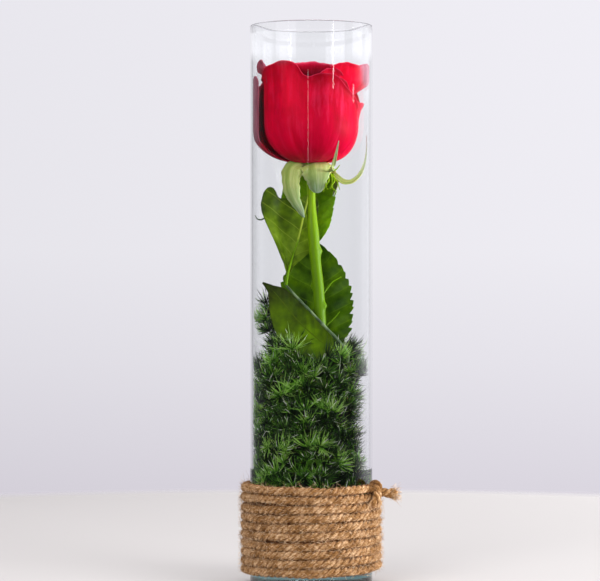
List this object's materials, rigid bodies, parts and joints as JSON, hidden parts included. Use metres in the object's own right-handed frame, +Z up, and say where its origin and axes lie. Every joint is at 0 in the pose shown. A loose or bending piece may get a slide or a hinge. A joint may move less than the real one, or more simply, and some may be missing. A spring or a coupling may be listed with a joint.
{
  "type": "rose in a glass cylinder vase",
  "caption": "Cut red rose standing in a tall clear glass cylinder vase with fern sprays and water in the foot and jute rope wound round the outside.",
  "frame": {"origin": "centre of the vase's flat underside, where it stands on the table", "axes": "+Z up along the vase's axis; -Y towards the viewer, with the rope's tail on the +X side"},
  "size_m": [0.1021, 0.0926, 0.365],
  "materials": {
    "glass": "clear, polished, with a faint green edge",
    "water": "clear liquid",
    "jute": "rough, three-strand twisted natural fibre",
    "stem": "satin green cane, toothed leaves and pale sepals",
    "petal": "velvety crimson petals",
    "fern": "dark green needles with brighter tips"
  },
  "bodies": {
    "root": {"glass_vase": "glass", "water": "water", "jute_rope": "jute", "rose_stem": "stem", "rose_petals": "petal", "fern_spray_front": "fern", "fern_spray_front_right": "fern", "fern_spray_back_right": "fern", "fern_spray_back": "fern", "fern_spray_back_left": "fern", "fern_spray_front_left": "fern"}
  },
  "joints": []
}
